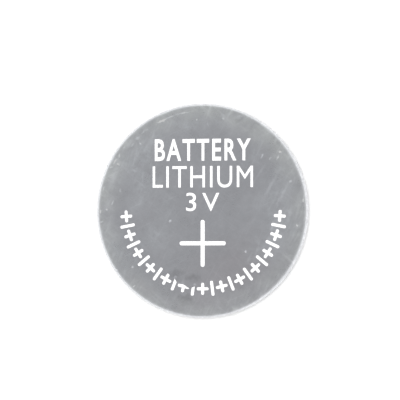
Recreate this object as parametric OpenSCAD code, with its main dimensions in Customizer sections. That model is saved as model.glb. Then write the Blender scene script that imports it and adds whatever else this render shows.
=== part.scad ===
// Lithium coin cell, 20 mm across and 1.6 mm high, lying on its negative contact.
// The origin is the centre of the negative contact, +Z points out of the positive face, sizes are millimetres.

/* [Cell] */
// Outside diameter of the cell
cell_d = 20; // [12:0.5:30]
// Height from the negative contact to the positive face
cell_h = 1.6; // [1.4:0.1:3.2]

/* [Positive can] */
// Thickness of the can's sheet
can_sheet = 0.2; // [0.16:0.01:0.24]
// Outside radius of the corner between the face and the side
can_corner_r = 0.45; // [0.3:0.01:0.5]
// Outside radius of the bend that closes the can over the seal
crimp_r = 0.5; // [0.4:0.02:0.6]
// Angle through which that bend turns the wall
crimp_angle = 82; // [74:1:88]
// Width of the crimped rim, from the side of the cell to the end of the lip
rim_w = 1.1; // [0.9:0.05:1.5]
// Height by which the negative contact stands proud of the rim
contact_proud = 0.12; // [0.1:0.01:0.2]

/* [Negative cap] */
// Thickness of the cap's sheet
cap_sheet = 0.2; // [0.16:0.01:0.22]
// Outside radius of the cap's bends
cap_bend_r = 0.3; // [0.26:0.01:0.32]
// Width of the bare flange between the seal and the step up to the contact
flange_show = 0.35; // [0.2:0.05:0.6]

/* [Seal] */
// Thickness of the seal between the can's side and the cap's skirt
seal_wall = 0.22; // [0.16:0.02:0.3]
// Thickness of the seal between the crimped lip and the cap's flange
seal_lip = 0.22; // [0.18:0.02:0.3]
// Thickness of the seal between the end of the skirt and the can's floor
seal_foot = 0.2; // [0.14:0.02:0.26]
// Thickness of the seal's inner wall, behind the skirt
seal_inner = 0.2; // [0.14:0.02:0.26]
// Gap between the end of the seal's inner wall and the cap's flange
seal_inner_gap = 0.21; // [0.12:0.01:0.3]
// Width of the seal that shows between the rim and the cap
seal_show = 0.2; // [0.1:0.02:0.3]
// Depth to which the squeezed seal bulges past the inner edge of the lip
seal_bulge = 0.06; // [0.02:0.01:0.08]
// Radius on the edge of that bulge
seal_nose_r = 0.1; // [0.04:0.02:0.12]

/* [Contents] */
// Thickness of the lithium disc
anode_h = 0.32; // [0.2:0.02:0.36]
// Gap between the lithium disc and the wall of the cap's well
anode_gap = 0.45; // [0.2:0.05:0.8]
// Thickness of the separator
separator_h = 0.15; // [0.08:0.01:0.18]
// Gap between the separator and the wall of the cap's well
separator_gap = 0.1; // [0.05:0.05:0.3]
// Gap between the cathode's ring and the line of the well's wall
cathode_gap = 0.15; // [0.1:0.05:0.5]
// Radius on the cathode pellet's lower edge
cathode_edge_r = 0.12; // [0.04:0.02:0.16]
// Thickness of the steel ring pressed round the cathode pellet
ring_sheet = 0.1; // [0.06:0.01:0.14]
// Gap between that ring and the separator
ring_gap = 0.28; // [0.14:0.02:0.34]
// Width of the ring's foot on the can's floor
ring_foot = 0.9; // [0.5:0.1:1.6]
// Outside radius of the ring's bend
ring_bend_r = 0.2; // [0.16:0.02:0.26]
// Radius on the edges of the punched lithium disc
anode_edge_r = 0.06; // [0.02:0.01:0.08]

/* [Hidden] */
$fn = 96;

// How far a cutting shape runs past what it cuts
past = 1;
// Straight edge that the ring's wall keeps below its bend, however low the wall is
ring_edge = 0.02;

// The can: its radius, its floor, its lip and the centres of its corner and its crimp
can_r = cell_d / 2;
floor_z = cell_h - can_sheet;
corner_centre_r = can_r - can_corner_r;
corner_centre_z = cell_h - can_corner_r;
lip_r = can_r - rim_w;
lip_length = (rim_w - crimp_r * (1 - cos(crimp_angle))) / sin(crimp_angle);
crimp_centre_r = can_r - crimp_r;
crimp_centre_z = contact_proud + crimp_r * sin(crimp_angle) + lip_length * cos(crimp_angle);

// The cap: its flange lies on the seal's lip, its skirt stands inside the seal's wall
flange_z = contact_proud + can_sheet + seal_lip;
skirt_r = can_r - can_sheet - seal_wall;
skirt_inner_r = skirt_r - cap_sheet;
skirt_end_z = floor_z - seal_foot;
step_r = lip_r - seal_show - flange_show;
hollow_bend_r = cap_bend_r - cap_sheet;
well_r = step_r - cap_sheet;

// The seal: the edge that shows beside the lip, and its inner wall behind the skirt
nose_r = lip_r - seal_show;
nose_z = flange_z - seal_lip - seal_bulge;
seal_inner_r = skirt_inner_r - seal_inner;
seal_inner_z = flange_z + cap_sheet + seal_inner_gap;

// The stack between the cap and the can's floor
anode_z = cap_sheet;
separator_z = anode_z + anode_h;
cathode_z = separator_z + separator_h;
ring_z = cathode_z + ring_gap;
ring_bend = min(ring_bend_r, floor_z - ring_z - ring_edge);
ring_r = well_r - cathode_gap;
cathode_r = ring_r - ring_sheet;
anode_r = well_r - anode_gap;
separator_r = well_r - separator_gap;

// A rectangle in the section, from one corner to the other
module block(low_r, low_z, high_r, high_z) {
  polygon([[low_r, low_z], [high_r, low_z], [high_r, high_z], [low_r, high_z]]);
}

// A round in the section
module round_at(centre_r, centre_z, radius) {
  translate([centre_r, centre_z])
    circle(radius);
}

// A section turned round the cell's axis
module revolve() {
  rotate_extrude()
    children();
}

// The can's outline filled in, drawn at a depth inside its outer surface and with a length of lip
module can_outline(depth, lip) {
  bend = crimp_r - depth;
  block(0, crimp_centre_z, corner_centre_r, cell_h - depth);
  block(0, crimp_centre_z, can_r - depth, corner_centre_z);
  round_at(corner_centre_r, corner_centre_z, can_corner_r - depth);
  translate([crimp_centre_r, crimp_centre_z])
    rotate(90 - crimp_angle) {
      circle(bend);
      block(-lip, -bend, 0, bend);
    }
}

// Section of the can: the sheet between two outlines, cut square at the end of the lip
module can_section() {
  difference() {
    can_outline(0, lip_length);
    can_outline(can_sheet, lip_length + past);
  }
}

// The cap's outline filled in to the axis, drawn at a depth inside its outer surface, up to a height
module cap_outline(depth, top_z) {
  hollow = hollow_bend_r + depth;
  hollow_centre_r = step_r + hollow_bend_r;
  hollow_centre_z = flange_z - hollow_bend_r;
  block(0, depth, step_r - cap_bend_r, top_z);
  round_at(step_r - cap_bend_r, cap_bend_r, cap_bend_r - depth);
  block(0, cap_bend_r, step_r - depth, top_z);
  difference() {
    block(0, hollow_centre_z, hollow_centre_r, top_z);
    round_at(hollow_centre_r, hollow_centre_z, hollow);
  }
  block(0, flange_z + depth, skirt_r - cap_bend_r, top_z);
  round_at(skirt_r - cap_bend_r, flange_z + cap_bend_r, cap_bend_r - depth);
  block(0, flange_z + cap_bend_r, skirt_r - depth, top_z);
}

// Section of the cap: contact, step, flange and skirt in one drawn sheet
module cap_section() {
  difference() {
    cap_outline(0, skirt_end_z);
    cap_outline(cap_sheet, skirt_end_z + past);
  }
}

// Section of the seal: it fills the space between can and cap, and wraps the end of the skirt
module gasket_section() {
  difference() {
    intersection() {
      union() {
        block(nose_r, nose_z + seal_nose_r, can_r, flange_z);
        block(nose_r + seal_nose_r, nose_z, can_r, flange_z);
        round_at(nose_r + seal_nose_r, nose_z + seal_nose_r, seal_nose_r);
        block(skirt_r - cap_bend_r, flange_z - seal_lip, can_r, flange_z + cap_bend_r);
        block(skirt_inner_r, flange_z, can_r, cell_h);
      }
      can_outline(0, lip_length + past);
    }
    can_section();
    cap_outline(0, skirt_end_z);
  }
  block(seal_inner_r, seal_inner_z, skirt_inner_r, floor_z);
}

// The ring's outline filled in to the axis, drawn at a depth inside its outer surface, down to a height
module ring_outline(depth, low_z) {
  block(0, low_z, ring_r - ring_bend, floor_z - depth);
  block(0, low_z, ring_r - depth, floor_z - ring_bend);
  round_at(ring_r - ring_bend, floor_z - ring_bend, ring_bend - depth);
}

// Section of the ring: its wall stands round the pellet and its foot lies on the can's floor
module ring_section() {
  intersection() {
    difference() {
      ring_outline(0, ring_z - past);
      ring_outline(ring_sheet, ring_z - past);
    }
    block(ring_r - ring_foot, ring_z, ring_r + past, cell_h);
  }
}

// Can: one drawn steel cup, face up, its edge crimped inwards over the seal
module positive_can() {
  color("silver")
    revolve()
      can_section();
}

// Cap: one drawn steel cup, contact down, its skirt turned up inside the can
module negative_cap() {
  color("lightgray")
    revolve()
      cap_section();
}

// Gasket: one moulded plastic ring squeezed between the two cups
module sealing_gasket() {
  color("whitesmoke")
    revolve()
      gasket_section();
}

// Anode: a disc punched from lithium strip and pressed into the cap
module lithium_anode() {
  low_z = anode_z;
  high_z = anode_z + anode_h;
  inner_r = anode_r - anode_edge_r;
  color("lightsteelblue")
    revolve() {
      block(0, low_z, inner_r, high_z);
      block(0, low_z + anode_edge_r, anode_r, high_z - anode_edge_r);
      round_at(inner_r, low_z + anode_edge_r, anode_edge_r);
      round_at(inner_r, high_z - anode_edge_r, anode_edge_r);
    }
}

// Separator: a disc of felted plastic fibre that keeps the electrodes apart
module separator() {
  color("white")
    revolve()
      block(0, separator_z, separator_r, cathode_z);
}

// Cathode: a pressed pellet whose upper edge takes the shape of its ring
module cathode_pellet() {
  inner_r = cathode_r - cathode_edge_r;
  color("dimgray")
    revolve() {
      block(0, cathode_z, inner_r, ring_z);
      block(0, cathode_z + cathode_edge_r, cathode_r, ring_z);
      round_at(inner_r, cathode_z + cathode_edge_r, cathode_edge_r);
      ring_outline(ring_sheet, cathode_z + cathode_edge_r);
      block(0, ring_z, ring_r - ring_foot, floor_z);
    }
}

// Ring: an angle ring of thin steel that holds the pellet and carries its current to the can
module cathode_ring() {
  color("gainsboro")
    revolve()
      ring_section();
}

positive_can();
negative_cap();
sealing_gasket();
lithium_anode();
separator();
cathode_pellet();
cathode_ring();
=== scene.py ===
import math

import bmesh
import bpy
from mathutils import Matrix, Vector


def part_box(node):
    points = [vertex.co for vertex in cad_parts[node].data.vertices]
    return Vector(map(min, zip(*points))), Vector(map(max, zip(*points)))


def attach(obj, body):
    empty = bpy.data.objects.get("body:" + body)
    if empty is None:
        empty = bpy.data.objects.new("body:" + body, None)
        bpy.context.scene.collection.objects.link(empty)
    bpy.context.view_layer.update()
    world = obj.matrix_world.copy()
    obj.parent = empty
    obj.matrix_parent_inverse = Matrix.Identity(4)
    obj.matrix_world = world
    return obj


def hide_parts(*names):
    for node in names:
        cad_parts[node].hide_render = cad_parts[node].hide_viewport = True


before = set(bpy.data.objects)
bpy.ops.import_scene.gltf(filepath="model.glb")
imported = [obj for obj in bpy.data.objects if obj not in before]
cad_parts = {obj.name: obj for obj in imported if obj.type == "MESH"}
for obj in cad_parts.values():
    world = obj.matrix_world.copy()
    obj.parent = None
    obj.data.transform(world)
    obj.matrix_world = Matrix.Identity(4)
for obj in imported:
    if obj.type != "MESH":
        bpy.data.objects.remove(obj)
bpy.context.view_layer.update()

# Positive can: one cup drawn from nickel-plated stainless steel sheet, marked face up.
# Its wall is the side of the cell, and its edge is crimped inwards over the seal.
MM = 0.001
CELL_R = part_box("positive_can")[1][0] / MM
CELL_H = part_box("positive_can")[1][2] / MM
SHEET = 0.2
CAN_CORNER_R = 0.45
CRIMP_R = 0.5
CRIMP_TURN = math.radians(82)
RIM_W = 1.1
LIP_R = CELL_R - RIM_W
RIM_Z = 0.12
PRINT_DEPTH = 0.004
ROLL_START_R = 8.95
ROLL_END_R = 9.5
ROLL_DROP = 0.02
ROLL_BEND_R = 4.0
FACE_RINGS = (4, 8)
LATHE_STEPS = 360
WELD = 1e-5


def rounded_section(points, bends, closed=False):
    """A section outline in millimetres. Bends gives some of its corners a radius and a number of steps."""
    bm = bmesh.new()
    corners = [bm.verts.new((r, 0, z)) for r, z in points]
    for a, b in zip(corners, corners[1:] + corners[:1] * closed):
        bm.edges.new((a, b))
    spots = [Vector((r, 0, z)) for r, z in points]
    for i, (radius, steps) in bends.items():
        before = spots[i - 1] - spots[i]
        after = spots[(i + 1) % len(spots)] - spots[i]
        turn = math.pi - before.angle(after)
        bmesh.ops.bevel(bm, geom=[corners[i]], affect="VERTICES", offset=radius * math.tan(turn / 2),
                        offset_type="OFFSET", segments=steps, profile=0.5, material=-1)
    return bm


def turn_round(bm, sheet=0.0):
    """Spins a section round the cell's axis and gives an open skin its sheet thickness."""
    bmesh.ops.spin(bm, geom=bm.verts[:] + bm.edges[:], axis=(0, 0, 1), cent=(0, 0, 0),
                   angle=2 * math.pi, steps=LATHE_STEPS, use_merge=True)
    bmesh.ops.remove_doubles(bm, verts=bm.verts[:], dist=WELD)
    bmesh.ops.recalc_face_normals(bm, faces=bm.faces[:])
    if sheet:
        bmesh.ops.solidify(bm, geom=bm.faces[:], thickness=sheet)
        bmesh.ops.recalc_face_normals(bm, faces=bm.faces[:])


def finished(bm, name, sharp_deg=35):
    """Turns millimetres into metres and makes the piece's object at the origin."""
    bmesh.ops.scale(bm, vec=(MM, MM, MM), verts=bm.verts[:])
    mesh = bpy.data.meshes.new(name)
    bm.to_mesh(mesh)
    bm.free()
    mesh.shade_smooth()
    mesh.set_sharp_from_angle(angle=math.radians(sharp_deg))
    piece = bpy.data.objects.new(name, mesh)
    bpy.context.scene.collection.objects.link(piece)
    return piece


def paint(piece, name):
    """Gives the piece a new node material and returns its tree and its shader."""
    mat = bpy.data.materials.new(name)
    mat.use_nodes = True
    piece.data.materials.clear()
    piece.data.materials.append(mat)
    return mat.node_tree, mat.node_tree.nodes["Principled BSDF"]


def add(tree, kind, settings=(), **inputs):
    """Adds a node; an input is a value, or the socket that feeds it."""
    node = tree.nodes.new(kind)
    for key, value in dict(settings).items():
        setattr(node, key, value)
    for key, value in inputs.items():
        socket = node.inputs[int(key[1:])] if key[0] == "i" and key[1:].isdigit() else node.inputs[key]
        if isinstance(value, bpy.types.NodeSocket):
            tree.links.new(value, socket)
        else:
            socket.default_value = value
    return node


def maths(tree, operation, a, b=0.0, c=0.0, clamp=False):
    """One step of arithmetic, on numbers or sockets."""
    settings = {"operation": operation, "use_clamp": clamp}
    return add(tree, "ShaderNodeMath", settings, i0=a, i1=b, i2=c).outputs[0]


def layered(tree, start, layers):
    """A value with patterns added to it, each times its own amount."""
    for pattern, amount in layers:
        start = maths(tree, "MULTIPLY_ADD", pattern, amount, start)
    return start


def eased(tree, value, low, high):
    """Nothing up to the low value and full from the high one, with a smooth rise between."""
    settings = {"interpolation_type": "SMOOTHSTEP"}
    return add(tree, "ShaderNodeMapRange", settings, Value=value, i1=low, i2=high).outputs[0]


def ramp(tree, value, stops):
    """A colour ramp from (place, grey or colour) stops."""
    node = add(tree, "ShaderNodeValToRGB", Fac=value)
    for i, (place, tone) in enumerate(stops):
        stop = node.color_ramp.elements[i] if i < 2 else node.color_ramp.elements.new(place)
        stop.position = place
        stop.color = (tone, tone, tone, 1) if isinstance(tone, (int, float)) else (*tone, 1)
    return node.outputs["Color"]


def blended(tree, mode, amount, a, b):
    """Two colours put together, each a tuple or a socket."""
    node = add(tree, "ShaderNodeMix", {"data_type": "RGBA", "blend_type": mode})
    for socket, value in ((node.inputs[0], amount), (node.inputs[6], a), (node.inputs[7], b)):
        if isinstance(value, bpy.types.NodeSocket):
            tree.links.new(value, socket)
        else:
            socket.default_value = (*value, 1) if isinstance(value, tuple) else value
    return node.outputs[2]


def millimetres(tree, turn_deg=0.0, stretch=(1, 1, 1)):
    """The piece's own coordinates in millimetres, turned and then stretched for a pattern."""
    place = add(tree, "ShaderNodeTexCoord").outputs["Object"]
    return add(tree, "ShaderNodeMapping", {"vector_type": "TEXTURE"}, Vector=place,
               Rotation=(0, 0, math.radians(turn_deg)), Scale=tuple(MM / s for s in stretch)).outputs[0]


def noise(tree, where, scale, detail=4.0, roughness=0.55):
    """A cloudy pattern between 0 and 1."""
    return add(tree, "ShaderNodeTexNoise", Vector=where, Scale=scale, Detail=detail,
               Roughness=roughness).outputs["Fac"]


# Hairlines in the steel: their turn in degrees, and how fine they are along and across.
HAIRLINES = ((24, 0.22, 9), (-38, 0.25, 12), (62, 0.18, 8))
BASE_SHADE = 0.73
GLOSS_SPREAD = 0.12
HAIR_DEPTH = 0.004


def bare_steel(tree, shader, tone, rough, scratch_depth, worn=0.0, smudged=0.0):
    """Satin plated steel: cloudy tone, uneven gloss, hairlines lying every way, and given wear."""
    here = millimetres(tree)
    cloud = noise(tree, here, 0.42, 4, 0.6)
    mottle = noise(tree, here, 1.9, 4, 0.65)
    grain = noise(tree, here, 9, 5, 0.7)
    hairs = 0.0
    for turn, along, across in HAIRLINES:
        streak = noise(tree, millimetres(tree, turn, (along, across, 1)), 1.0, 3, 0.6)
        hairs = maths(tree, "MAXIMUM", ramp(tree, streak, [(0.60, 0), (0.72, 1)]), hairs)
    shade = layered(tree, BASE_SHADE, [(grain, 0.12), (cloud, 0.22), (mottle, 0.2), (hairs, 0.07),
                                       (worn, 0.55), (smudged, -0.2)])
    gloss = layered(tree, rough - GLOSS_SPREAD, [(grain, GLOSS_SPREAD), (cloud, GLOSS_SPREAD)])
    gloss = maths(tree, "MULTIPLY_ADD", worn, 0.5, gloss, clamp=True)
    height = maths(tree, "MULTIPLY_ADD", hairs, -1.0, maths(tree, "MULTIPLY", grain, 0.5))
    bump = add(tree, "ShaderNodeBump", Strength=scratch_depth, Distance=HAIR_DEPTH * MM, Height=height)
    shader.inputs["Metallic"].default_value = 1.0
    tree.links.new(blended(tree, "MULTIPLY", 1.0, tone, shade), shader.inputs["Base Color"])
    tree.links.new(gloss, shader.inputs["Roughness"])
    tree.links.new(bump.outputs[0], shader.inputs["Normal"])


OVAL_DEPTH = 100


def oval(tree, where, x, y, half_long, half_wide, turn_deg, strength):
    """A mark on the face in millimetres: full at its middle, nothing past its oval edge."""
    placed = add(tree, "ShaderNodeMapping", {"vector_type": "TEXTURE"}, Vector=where, Location=(x, y, 0),
                 Rotation=(0, 0, math.radians(turn_deg)),
                 Scale=(half_long, half_wide, OVAL_DEPTH)).outputs[0]
    reach = add(tree, "ShaderNodeVectorMath", {"operation": "LENGTH"}, i0=placed).outputs["Value"]
    return maths(tree, "MULTIPLY_ADD", reach, -strength, strength, clamp=True)


# Section of the can, wound from the middle of the face to the end of the lip.
crimp_corner_z = RIM_Z + (CELL_R - LIP_R) / math.tan(CRIMP_TURN)
face_z = CELL_H - PRINT_DEPTH
can_section = rounded_section(
    [(0, face_z), (FACE_RINGS[0], face_z), (FACE_RINGS[1], face_z), (ROLL_START_R, face_z),
     (ROLL_END_R, face_z - ROLL_DROP), (CELL_R, face_z - ROLL_DROP),
     (CELL_R, crimp_corner_z), (LIP_R, RIM_Z)],
    {6: (CRIMP_R, 14), 5: (CAN_CORNER_R - ROLL_DROP, 14), 3: (ROLL_BEND_R, 6)})
turn_round(can_section, SHEET - PRINT_DEPTH)
can = finished(can_section, "can_body")
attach(can, "root")
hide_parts("positive_can")

# Wear on the face, each mark listed one by one: its middle, half its length and width, its turn and
# its strength. Flecks and streaks are lighter and rougher than the plate, haze is a pale veil,
# and smudges and tarnish are darker.
FLECKS = [
    (-0.4, 8.5, 0.12, 0.09, 20, 1.6), (0.65, 8.1, 0.09, 0.25, 5, 0.5), (-5.8, 6.3, 0.25, 0.1, -50, 0.9),
    (7.45, 5.45, 0.16, 0.14, 0, 2.2), (-2.95, -0.95, 0.2, 0.15, 10, 1.5),
    (4.2, -3.8, 0.12, 0.12, 0, 4.0), (-6.5, -5.25, 0.12, 0.12, 0, 1.8),
    (-6.35, -7.05, 0.18, 0.09, 30, 1.2), (9.0, -1.4, 0.13, 0.13, 0, 1.6),
    (-9.0, 0.15, 0.14, 0.12, 0, 2.0), (-7.7, 1.95, 0.1, 0.25, 10, 0.7), (8.4, 2.7, 0.18, 0.14, 40, 0.8),
    (-8.45, 0.8, 0.3, 0.1, 70, 0.8), (5.75, 5.05, 0.3, 0.1, 62, 1.0), (6.5, 4.85, 0.25, 0.09, 60, 0.8),
    (7.2, 4.9, 0.32, 0.09, 65, 1.0), (-8.2, 4.7, 0.35, 0.12, 55, 1.1), (-7.8, 5.2, 0.3, 0.08, 80, 0.9),
    (-8.6, 4.1, 0.25, 0.1, 20, 0.8), (-3.7, 8.45, 0.6, 0.11, 24, 1.5), (-2.9, 8.8, 0.7, 0.07, 19, 0.8),
    (-1.7, 9.15, 1.1, 0.07, 10.5, 0.7), (-8.1, -5.5, 0.25, 0.12, -35, 2.0),
    (-9.6, -0.05, 0.12, 0.25, 0, 1.4), (-5.5, 7.4, 0.3, 0.08, 50, 0.6), (2.1, 8.6, 0.16, 0.16, 0, 0.7),
    (3.5, 8.7, 0.6, 0.25, 15, 0.35), (-2.45, -6.2, 0.22, 0.14, 30, 0.8),
    (-0.62, -6.9, 0.2, 0.16, 0, 0.6), (-1.8, -6.9, 0.5, 0.2, 70, 0.5), (-9.5, -1.0, 0.2, 0.1, 10, 0.9),
    (9.6, 0.9, 0.1, 0.2, 0, 1.2), (-9.3, 2.1, 0.3, 0.08, 75, 0.8), (-6.05, 6.85, 0.32, 0.2, 20, 0.6),
    (-6.55, 6.2, 0.32, 0.12, 50, 0.5), (-5.2, 7.6, 0.3, 0.1, 15, 0.5),
    (-6.35, 3.75, 0.3, 0.15, -20, 0.4), (-7.9, 4.4, 0.2, 0.14, -30, 0.9),
    (-7.35, 6.0, 0.2, 0.1, 60, 0.6)]
SOFT_STREAKS = [
    (6.6, 2.4, 2.1, 0.2, 60, 0.28), (7.6, 1.4, 1.7, 0.16, 62, 0.22), (5.6, 3.6, 1.3, 0.14, 57, 0.22),
    (8.3, -0.4, 1.2, 0.25, 75, 0.25), (-8.4, 3.0, 1.4, 0.4, 70, 0.25), (-7.0, 6.2, 1.1, 0.35, 45, 0.25),
    (4.6, -1.2, 1.3, 0.3, 50, 0.12), (-3.8, 6.6, 1.2, 0.3, 20, 0.12)]
SMUDGES = [
    (-2.35, -6.0, 0.8, 0.6, 20, 1.3), (-0.8, -6.2, 0.85, 0.5, -10, 1.2),
    (-1.35, -8.3, 1.1, 0.55, -15, 1.2), (1.9, -3.2, 2.6, 1.5, 60, 0.3), (3.6, 8.4, 0.5, 0.35, 40, 0.8),
    (4.7, 7.6, 0.5, 0.3, 60, 0.7)]
HAZE = [
    (7.0, 1.2, 4.6, 2.0, 80, 1.0), (-5.7, 5.3, 4.4, 2.3, 46, 1.3), (-1.2, 8.1, 4.6, 1.4, 4, 1.0),
    (-4.4, -2.4, 2.6, 1.7, 30, 0.9), (-7.6, -4.0, 3.0, 1.2, 118, 0.8), (7.2, -1.8, 3.4, 1.8, 80, 1.6),
    (-5.6, 2.2, 3.2, 2.0, 65, 1.1), (-3.2, 0.4, 2.6, 1.8, 80, 0.6), (5.2, -3.6, 2.4, 1.5, 60, 0.9),
    (5.2, 5.2, 1.8, 1.0, 60, 0.8)]
TARNISH = [
    (3.4, -5.6, 6.5, 4.0, 20, 1.3), (0.5, -8.4, 5.0, 2.2, 0, 0.9), (-5.4, -7.2, 2.2, 1.2, -40, 0.8)]
# How fine and how far the edges of the marks are torn.
WORN_TORN = (5.0, 0.3)
SMUDGE_TORN = (1.6, 1.2)
BROAD_TORN = (0.9, 2.4)
# Where the outer band (rubbed and painted with sheen), the edge ring (rubbed and painted with a highlight),
# the crimped rim, the wall and the face begin and end.
BAND_START_R = 7.2
BAND_END_R = 9.7
EDGE_START_R = 9.0
EDGE_END_R = 9.7
RIM_TOP_Z = 0.25
WALL_LOW_Z = 0.6
WALL_TOP_Z = 1.37
FACE_LOW_Z = 1.53
PLAIN_STEEL = (0.612, 0.624, 0.662)
TARNISHED_STEEL = (0.594, 0.588, 0.622)
# The light tone of the outer band and edge ring: partly rubbed wear, partly painted sheen and painted
# highlight.
RUBBED_AND_SHEEN_STEEL = (0.785, 0.812, 0.820)
HAZED_STEEL = (0.755, 0.790, 0.830)
RIM_STEEL = (0.60, 0.605, 0.62)
DULL_WALL = (0.58, 0.59, 0.61)
BRIGHT_WALL = (0.76, 0.77, 0.79)
# How much lighter the outer band is painted (rubbed wear and painted sheen), across the middle of the face
# and more towards its top.
MIDDLE_SHEEN_AND_RUB = 0.85
TOP_SHEEN_AND_RUB = 0.3
HAZE_AMOUNT = 0.75
SCUFF_AMOUNT = 0.26
SCUFF_TURNS = (62, 74, -40)

can_tree, can_shader = paint(can, "plated_can_steel")
face_here = millimetres(can_tree)


def torn(scale, reach):
    """The face's coordinates pushed about, so that a mark's edge is uneven."""
    push = add(can_tree, "ShaderNodeTexNoise", Vector=face_here, Scale=scale, Detail=4.0).outputs["Color"]
    centred = add(can_tree, "ShaderNodeVectorMath", {"operation": "MULTIPLY_ADD"}, i0=push,
                  i1=(reach, reach, 0), i2=(-reach / 2, -reach / 2, 0)).outputs[0]
    return add(can_tree, "ShaderNodeVectorMath", {"operation": "ADD"}, i0=face_here, i1=centred).outputs[0]


def strongest(where, marks):
    """The strongest of some marks at each place."""
    most = 0.0
    for mark in marks:
        most = maths(can_tree, "MAXIMUM", oval(can_tree, where, *mark), most)
    return most


worn = strongest(torn(*WORN_TORN), FLECKS + SOFT_STREAKS)
smudged = strongest(torn(*SMUDGE_TORN), SMUDGES)
broad_here = torn(*BROAD_TORN)
haze = strongest(broad_here, HAZE)
tarnish = strongest(broad_here, TARNISH)
# The outer band and the edge ring, painted lighter by the distance from the cell's axis and more towards the
# top of the face: partly rubbed wear, partly painted sheen on the band and a painted highlight on the rolled
# edge.
levelled = add(can_tree, "ShaderNodeVectorMath", {"operation": "MULTIPLY"}, i0=face_here, i1=(1, 1, 0))
from_axis = add(can_tree, "ShaderNodeVectorMath", {"operation": "LENGTH"}, i0=levelled.outputs[0])
radius = from_axis.outputs["Value"]
outer_band_sheen_and_rub = eased(can_tree, radius, BAND_START_R, BAND_END_R)
patches = ramp(can_tree, noise(can_tree, face_here, 0.5, 5, 0.65), [(0.38, 0.35), (0.62, 1)])
apart = add(can_tree, "ShaderNodeSeparateXYZ", Vector=face_here).outputs
upwards = maths(can_tree, "DIVIDE", apart["Y"], radius)
more_towards_top = maths(can_tree, "MULTIPLY_ADD", upwards, TOP_SHEEN_AND_RUB, MIDDLE_SHEEN_AND_RUB)
rubbed_and_sheen = maths(can_tree, "MULTIPLY", maths(can_tree, "MULTIPLY", outer_band_sheen_and_rub, patches), more_towards_top)
# The edge ring is painted lighter too: partly rubbed wear, partly a painted highlight where the face rolls
# over towards the wall.
edge = eased(can_tree, radius, EDGE_START_R, EDGE_END_R)
edge_wear_and_highlight = ramp(can_tree, noise(can_tree, face_here, 0.8, 4, 0.6), [(0.38, 0.3), (0.62, 0.7)])
rubbed_and_sheen = maths(can_tree, "MAXIMUM", maths(can_tree, "MULTIPLY", edge, edge_wear_and_highlight), rubbed_and_sheen)
# The face: plain grey plate, lighter in its outer band and edge ring from rubbed wear and painted sheen, and
# veiled by haze.
plain_tone = blended(can_tree, "MIX", tarnish, PLAIN_STEEL, TARNISHED_STEEL)
rubbed_and_sheen_tone = blended(can_tree, "MIX", rubbed_and_sheen, plain_tone, RUBBED_AND_SHEEN_STEEL)
breath = ramp(can_tree, noise(can_tree, face_here, 1.3, 5, 0.7), [(0.36, 0.15), (0.66, 1)])
hazed = maths(can_tree, "MULTIPLY", maths(can_tree, "MULTIPLY", haze, breath), HAZE_AMOUNT)
face_tone = blended(can_tree, "MIX", hazed, rubbed_and_sheen_tone, HAZED_STEEL)
# The side: the wall has fine lines along its height, and the crimped rim is plain.
on_face = eased(can_tree, apart["Z"], WALL_TOP_Z, FACE_LOW_Z)
drawn = noise(can_tree, millimetres(can_tree, 0, (3.2, 3.2, 0.35)), 1.0, 4, 0.65)
wall_tone = ramp(can_tree, drawn, [(0.35, DULL_WALL), (0.65, BRIGHT_WALL)])
off_rim = eased(can_tree, apart["Z"], RIM_TOP_Z, WALL_LOW_Z)
side_tone = blended(can_tree, "MIX", off_rim, RIM_STEEL, wall_tone)
can_tone = blended(can_tree, "MIX", on_face, side_tone, face_tone)
# Fine scuffs, only where the face is hazed or in its outer band.
scuffs = 0.0
for turn in SCUFF_TURNS:
    scuff = noise(can_tree, millimetres(can_tree, turn, (0.45, 2.0, 1)), 1.0, 4, 0.6)
    scuffs = maths(can_tree, "MAXIMUM", ramp(can_tree, scuff, [(0.55, 0), (0.72, 1)]), scuffs)
scuffed = maths(can_tree, "MULTIPLY", scuffs, maths(can_tree, "MAXIMUM", haze, outer_band_sheen_and_rub))
worn = maths(can_tree, "MULTIPLY", maths(can_tree, "MULTIPLY_ADD", scuffed, SCUFF_AMOUNT, worn), on_face)
bare_steel(can_tree, can_shader, can_tone, rough=0.30, scratch_depth=0.6, worn=worn, smudged=smudged)

# Negative cap: one stepped cup drawn from stainless steel sheet, its contact flat on the table.
# Its flange lies on the seal and its skirt stands up inside the can.
STEP_R = 8.35
FLANGE_Z = 0.54
SKIRT_R = 9.58
SKIRT_END_Z = 1.2
CAP_BEND_R = 0.3
cap_section = rounded_section(
    [(0, 0), (STEP_R, 0), (STEP_R, FLANGE_Z), (SKIRT_R, FLANGE_Z), (SKIRT_R, SKIRT_END_Z)],
    {3: (CAP_BEND_R, 8), 2: (CAP_BEND_R - SHEET, 6), 1: (CAP_BEND_R, 8)})
turn_round(cap_section, SHEET)
cap = finished(cap_section, "cap_body")
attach(cap, "root")
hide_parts("negative_cap")
cap_tree, cap_shader = paint(cap, "cap_steel_satin")
bare_steel(cap_tree, cap_shader, (0.64, 0.64, 0.645), rough=0.24, scratch_depth=0.5)

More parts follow.
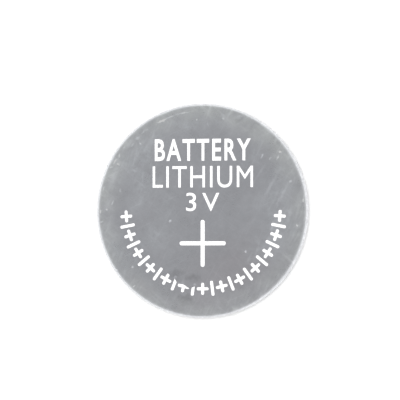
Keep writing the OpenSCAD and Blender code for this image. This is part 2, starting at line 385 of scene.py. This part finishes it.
# Sealing gasket: one moulded ring of natural polypropylene, squeezed solid between can and cap.
# Its edge bulges a little past the crimped lip, and its inner wall stands behind the cap's skirt.
FLOOR_Z = CELL_H - SHEET
SEAL_OUT_R = CELL_R - SHEET
SEAL_IN_R = 9.18
SEAL_IN_Z = 0.95
NOSE_R = 8.7
NOSE_Z = 0.26
NOSE_EDGE_R = 0.1
lip_in_r = LIP_R - SHEET * math.cos(CRIMP_TURN)
lip_in_z = RIM_Z + SHEET * math.sin(CRIMP_TURN)
seal_corner_z = lip_in_z + (SEAL_OUT_R - lip_in_r) / math.tan(CRIMP_TURN)
seal_section = rounded_section(
    [(NOSE_R, NOSE_Z), (lip_in_r, NOSE_Z), (lip_in_r, lip_in_z), (SEAL_OUT_R, seal_corner_z),
     (SEAL_OUT_R, FLOOR_Z), (SEAL_IN_R, FLOOR_Z), (SEAL_IN_R, SEAL_IN_Z), (SKIRT_R - SHEET, SEAL_IN_Z),
     (SKIRT_R - SHEET, SKIRT_END_Z), (SKIRT_R, SKIRT_END_Z), (SKIRT_R, FLANGE_Z), (NOSE_R, FLANGE_Z)],
    {10: (CAP_BEND_R, 8), 4: (CAN_CORNER_R - SHEET, 6), 3: (CRIMP_R - SHEET, 10), 0: (NOSE_EDGE_R, 6)},
    closed=True)
turn_round(seal_section)
seal = finished(seal_section, "seal_ring")
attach(seal, "root")
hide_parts("sealing_gasket")
seal_tree, seal_shader = paint(seal, "seal_polypropylene")
seal_grain = noise(seal_tree, millimetres(seal_tree), 3.0, 4)
seal_colour = ramp(seal_tree, seal_grain, [(0.3, (0.66, 0.66, 0.62)), (0.7, (0.76, 0.76, 0.73))])
seal_tree.links.new(seal_colour, seal_shader.inputs["Base Color"])
seal_gloss = maths(seal_tree, "MULTIPLY_ADD", seal_grain, 0.15, 0.38)
seal_tree.links.new(seal_gloss, seal_shader.inputs["Roughness"])
seal_bump = add(seal_tree, "ShaderNodeBump", Strength=0.3, Distance=0.003 * MM, Height=seal_grain)
seal_tree.links.new(seal_bump.outputs[0], seal_shader.inputs["Normal"])
seal_shader.inputs["Subsurface Weight"].default_value = 0.15
seal_shader.inputs["Subsurface Scale"].default_value = 0.2 * MM

# Electrodes and separator: lithium disc, felt, and pressed pellet in its steel ring, sealed in the can.
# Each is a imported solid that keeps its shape; only its finish is given here.
lithium_tree, lithium_shader = paint(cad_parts["lithium_anode"], "rolled_lithium")
rolled = noise(lithium_tree, millimetres(lithium_tree, 0, (0.3, 6, 1)), 1.5, 4)
lithium_tone = ramp(lithium_tree, rolled, [(0.3, (0.42, 0.43, 0.44)), (0.75, (0.66, 0.67, 0.68))])
lithium_tree.links.new(lithium_tone, lithium_shader.inputs["Base Color"])
lithium_gloss = maths(lithium_tree, "MULTIPLY_ADD", rolled, 0.25, 0.35)
lithium_tree.links.new(lithium_gloss, lithium_shader.inputs["Roughness"])
lithium_shader.inputs["Metallic"].default_value = 1.0

felt_tree, felt_shader = paint(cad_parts["separator"], "felted_fibre")
fibres = maths(felt_tree, "MAXIMUM", noise(felt_tree, millimetres(felt_tree, 20, (0.6, 9, 1)), 1.0, 3),
               noise(felt_tree, millimetres(felt_tree, -55, (0.6, 9, 1)), 1.0, 3))
felt_tone = ramp(felt_tree, fibres, [(0.4, (0.72, 0.72, 0.70)), (0.65, (0.90, 0.90, 0.88))])
felt_tree.links.new(felt_tone, felt_shader.inputs["Base Color"])
felt_bump = add(felt_tree, "ShaderNodeBump", Strength=0.6, Distance=0.01 * MM, Height=fibres)
felt_tree.links.new(felt_bump.outputs[0], felt_shader.inputs["Normal"])
felt_shader.inputs["Roughness"].default_value = 0.9

pellet_tree, pellet_shader = paint(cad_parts["cathode_pellet"], "pressed_black_mix")
pellet_grain = noise(pellet_tree, millimetres(pellet_tree), 12, 6, 0.7)
pellet_tone = ramp(pellet_tree, pellet_grain, [(0.35, (0.018, 0.018, 0.02)), (0.75, (0.09, 0.09, 0.095))])
pellet_tree.links.new(pellet_tone, pellet_shader.inputs["Base Color"])
pellet_gloss = maths(pellet_tree, "MULTIPLY_ADD", pellet_grain, 0.3, 0.5)
pellet_tree.links.new(pellet_gloss, pellet_shader.inputs["Roughness"])
pellet_bump = add(pellet_tree, "ShaderNodeBump", Strength=0.5, Distance=0.01 * MM, Height=pellet_grain)
pellet_tree.links.new(pellet_bump.outputs[0], pellet_shader.inputs["Normal"])

ring_tree, ring_shader = paint(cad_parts["cathode_ring"], "bright_ring_steel")
bare_steel(ring_tree, ring_shader, (0.66, 0.66, 0.67), rough=0.2, scratch_depth=0.3)

# Marks on the face: flat matt white print, a few thousandths of a millimetre thick.
# Two plain words, the voltage and the plus sign of the positive pole, with a border of small
# plus marks and strokes round the lower half.
# The letters' weights and weld are shares of their own size, and their curves are steps to a bend.
BOLD = 0.02
REGULAR = 0.004
THIN = 0.0
FINE_CURVES = 6
BOLD_CURVES = 3
LETTER_WELD = 0.0001
# The ends of bars are rounded by this share of their width, and all the print sits a little aside.
END_ROUNDING = 0.45
PRINT_ASIDE = 0.15
# The words: their width and height, their weight, spacing and smoothness, and the height of their foot.
WORDS = [("BATTERY", 9.1, 2.05, BOLD, 1.2, BOLD_CURVES, 4.67),
         ("LITHIUM", 9.5, 2.02, THIN, 1.1, FINE_CURVES, 2.15),
         ("3V", 3.15, 1.72, REGULAR, 1.3, FINE_CURVES, -0.04)]
PLUS_ARM = 2.18
PLUS_WIDTH = 0.38
PLUS_Y = -3.04


def printed_text(words, width, height, weight, spacing, curves):
    """Lettering as a flat mesh in millimetres, its foot on y 0 and its middle on x 0.
    The letters are filled again from their borders, because the text's own fill leaves flat triangles."""
    curve = bpy.data.curves.new("print_text", "FONT")
    curve.body = words
    curve.size = 1.0
    curve.offset = weight
    curve.space_character = spacing
    curve.resolution_u = curves
    text = bpy.data.objects.new("print_text", curve)
    bpy.context.scene.collection.objects.link(text)
    shaped = bpy.data.meshes.new_from_object(text.evaluated_get(bpy.context.evaluated_depsgraph_get()))
    bm = bmesh.new()
    bm.from_mesh(shaped)
    bpy.data.objects.remove(text)
    bpy.data.curves.remove(curve)
    bpy.data.meshes.remove(shaped)
    bmesh.ops.remove_doubles(bm, verts=bm.verts[:], dist=WELD)
    inner = [e for e in bm.edges if len(e.link_faces) != 1]
    bmesh.ops.delete(bm, geom=bm.faces[:], context="FACES_ONLY")
    bmesh.ops.delete(bm, geom=inner, context="EDGES")
    bmesh.ops.remove_doubles(bm, verts=bm.verts[:], dist=LETTER_WELD)
    bmesh.ops.dissolve_degenerate(bm, edges=bm.edges[:], dist=LETTER_WELD)
    bmesh.ops.triangle_fill(bm, use_beauty=True, use_dissolve=False, edges=bm.edges[:])
    low_x, high_x = min(v.co.x for v in bm.verts), max(v.co.x for v in bm.verts)
    low_y, high_y = min(v.co.y for v in bm.verts), max(v.co.y for v in bm.verts)
    bmesh.ops.translate(bm, vec=(-(low_x + high_x) / 2, -low_y, 0), verts=bm.verts[:])
    bmesh.ops.scale(bm, vec=(width / (high_x - low_x), height / (high_y - low_y), 1), verts=bm.verts[:])
    return bm


def plus_sign(arm, width):
    """A plus sign in one flat piece, the ends of its four arms rounded."""
    bm = bmesh.new()
    bmesh.ops.create_grid(bm, x_segments=1, y_segments=1, size=width / 2)
    for edge in bm.edges[:]:
        outwards = (edge.verts[0].co + edge.verts[1].co).normalized() * (arm - width / 2)
        grown = bmesh.ops.extrude_edge_only(bm, edges=[edge])["geom"]
        bmesh.ops.translate(bm, vec=outwards, verts=[v for v in grown if isinstance(v, bmesh.types.BMVert)])
    tips = [v for v in bm.verts if v.co.length > width]
    bmesh.ops.bevel(bm, geom=tips, affect="VERTICES", offset=width * END_ROUNDING,
                    offset_type="OFFSET", segments=6, profile=0.5, material=-1)
    return bm


def stroke(half_length, width):
    """A short bar with rounded ends, upright on the page."""
    bm = bmesh.new()
    bmesh.ops.create_grid(bm, x_segments=1, y_segments=1, size=1)
    bmesh.ops.scale(bm, vec=(width / 2, half_length, 1), verts=bm.verts[:])
    bmesh.ops.bevel(bm, geom=bm.verts[:], affect="VERTICES", offset=width * END_ROUNDING,
                    offset_type="OFFSET", segments=4, profile=0.5, material=-1)
    return bm


def lay_print(target, flat, place):
    """Gives flat print its thickness, puts it on the face and adds it to the target."""
    body = bmesh.ops.extrude_face_region(flat, geom=flat.faces[:])
    raised = [v for v in body["geom"] if isinstance(v, bmesh.types.BMVert)]
    bmesh.ops.translate(flat, vec=(0, 0, PRINT_DEPTH), verts=raised)
    bmesh.ops.recalc_face_normals(flat, faces=flat.faces[:])
    bmesh.ops.transform(flat, matrix=Matrix.Translation((0, 0, face_z)) @ place, verts=flat.verts[:])
    part = bpy.data.meshes.new("print_part")
    flat.to_mesh(part)
    flat.free()
    target.from_mesh(part)
    bpy.data.meshes.remove(part)


def at(x, y, turn=0.0):
    """A place on the face in millimetres, turned on the spot."""
    return Matrix.Translation((x, y, 0)) @ Matrix.Rotation(turn, 4, "Z")


straight_print = bmesh.new()
for words, width, height, weight, spacing, curves, foot_y in WORDS:
    letters = printed_text(words, width, height, weight, spacing, curves)
    lay_print(straight_print, letters, at(PRINT_ASIDE, foot_y))
lay_print(straight_print, plus_sign(PLUS_ARM, PLUS_WIDTH), at(PRINT_ASIDE, PLUS_Y))
marks = finished(straight_print, "face_print")

BORDER_R = 7.28
BORDER_START = math.radians(184)
BORDER_END = math.radians(356)
BORDER_MARKS = 25
BORDER_ARM = 0.56
BORDER_STROKE = 0.7
BORDER_WIDTH = 0.28
# The marks that are partly rubbed off: a point on the line where each ends, and the way that line faces.
RUBBED_OFF = {9: (0.05, 0.25, 50), 10: (0.12, 0.1, 70), 11: (0.0, 0.1, 120)}
border_print = bmesh.new()
for i in range(BORDER_MARKS):
    angle = BORDER_START + (BORDER_END - BORDER_START) * i / (BORDER_MARKS - 1)
    mark = stroke(BORDER_STROKE, BORDER_WIDTH) if i % 2 else plus_sign(BORDER_ARM, BORDER_WIDTH)
    if i in RUBBED_OFF:
        cut_x, cut_y, cut_deg = RUBBED_OFF[i]
        cut_way = math.radians(cut_deg)
        bmesh.ops.bisect_plane(mark, geom=mark.verts[:] + mark.edges[:] + mark.faces[:],
                               plane_co=(cut_x, cut_y, 0), clear_outer=True,
                               plane_no=(math.cos(cut_way), math.sin(cut_way), 0))
    place = at(PRINT_ASIDE, 0.0, angle) @ at(BORDER_R, 0.0, math.pi / 2)
    lay_print(border_print, mark, place)
border = finished(border_print, "border_print")

for piece, finish in ((marks, "white_print"), (border, "white_border_print")):
    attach(piece, "root")
    print_tree, print_shader = paint(piece, finish)
    chalk = noise(print_tree, millimetres(print_tree), 9, 4)
    print_tone = ramp(print_tree, chalk, [(0.3, 0.90), (0.7, 0.96)])
    print_tree.links.new(print_tone, print_shader.inputs["Base Color"])
    print_shader.inputs["Roughness"].default_value = 0.7

# Floor: a plain pale matt sheet that the cell lies on, and no part of it.
# It is far wider than the cell, so that its edge stays out of low views.
FLOOR_HALF = 3000
floor_mesh = bmesh.new()
bmesh.ops.create_grid(floor_mesh, x_segments=1, y_segments=1, size=FLOOR_HALF)
floor = finished(floor_mesh, "floor")
floor_shader = paint(floor, "pale_floor")[1]
floor_shader.inputs["Base Color"].default_value = (0.90, 0.90, 0.90, 1)
floor_shader.inputs["Roughness"].default_value = 0.8
floor_shader.inputs["Specular IOR Level"].default_value = 0.2

# Light: a pale tent that the steel mirrors, grey overhead, white low down and brighter at either side.
# One even soft light from overhead is for what is matt, and the steel doesn't mirror it.
TENT = [(0.0, 1.25), (1.0, 0.50), (0.05, 1.25), (0.12, 0.93), (0.3, 0.70), (0.5, 0.59), (0.8, 0.53)]
SIDE_GLOW = 0.3
FRONT_GLOW = 0.9
LAMP_LEAN = math.radians(5)
LAMP_TURN = math.radians(35)
LAMP_WIDTH = math.radians(36)
LAMP_ENERGY = 2.4
world = bpy.data.worlds.new("tent")
bpy.context.scene.world = world
world.use_nodes = True
sky = world.node_tree
sky_way = add(sky, "ShaderNodeSeparateXYZ", Vector=add(sky, "ShaderNodeTexCoord").outputs["Generated"])
tent = ramp(sky, sky_way.outputs["Z"], TENT)
sides = maths(sky, "MULTIPLY_ADD", maths(sky, "ABSOLUTE", sky_way.outputs["X"]), SIDE_GLOW, FRONT_GLOW)
sky.links.new(tent, sky.nodes["Background"].inputs["Color"])
sky.links.new(sides, sky.nodes["Background"].inputs["Strength"])
lamp_data = bpy.data.lights.new("soft_lamp", "SUN")
lamp_data.angle = LAMP_WIDTH
lamp_data.energy = LAMP_ENERGY
lamp = bpy.data.objects.new("soft_lamp", lamp_data)
lamp.matrix_world = Matrix.Rotation(LAMP_TURN, 4, "Z") @ Matrix.Rotation(LAMP_LEAN, 4, "Y")
bpy.context.scene.collection.objects.link(lamp)
lamp.visible_glossy = False

# Camera: looks down on the face, tilted a little to the right and towards the foot of the marks.
# Its lens is long, and FACE_PIXEL is where the middle of the face lies in the picture.
TILT = math.radians(10)
TILT_SIDE = math.radians(-9.5)
LENS_MM = 200
PIXELS = 400
PIXELS_PER_MM = 10.72
SENSOR_MM = 36
FACE_PIXEL = (201.05, 210.7)
CLIP_NEAR = 0.01
CLIP_FAR = 10
camera_data = bpy.data.cameras.new("camera")
camera_data.lens = LENS_MM
camera_data.sensor_width = SENSOR_MM
camera_data.clip_start = CLIP_NEAR
camera_data.clip_end = CLIP_FAR
camera = bpy.data.objects.new("camera", camera_data)
bpy.context.scene.collection.objects.link(camera)
bpy.context.scene.camera = camera
toward = Vector((math.sin(TILT) * math.cos(TILT_SIDE), math.sin(TILT) * math.sin(TILT_SIDE), math.cos(TILT)))
right = Vector((0, 1, 0)).cross(toward).normalized()
upward = toward.cross(right)
distance = PIXELS / PIXELS_PER_MM * LENS_MM / SENSOR_MM * MM
middle = Vector((0, 0, CELL_H * MM))
shift_x = (PIXELS / 2 - FACE_PIXEL[0]) / PIXELS_PER_MM * MM
shift_y = (FACE_PIXEL[1] - PIXELS / 2) / PIXELS_PER_MM * MM
aim = middle + right * shift_x + upward * shift_y
camera.matrix_world = Matrix.Translation(aim + toward * distance) @ Matrix(
    (right, upward, toward)).transposed().to_4x4()
bpy.context.scene.view_settings.view_transform = "Standard"
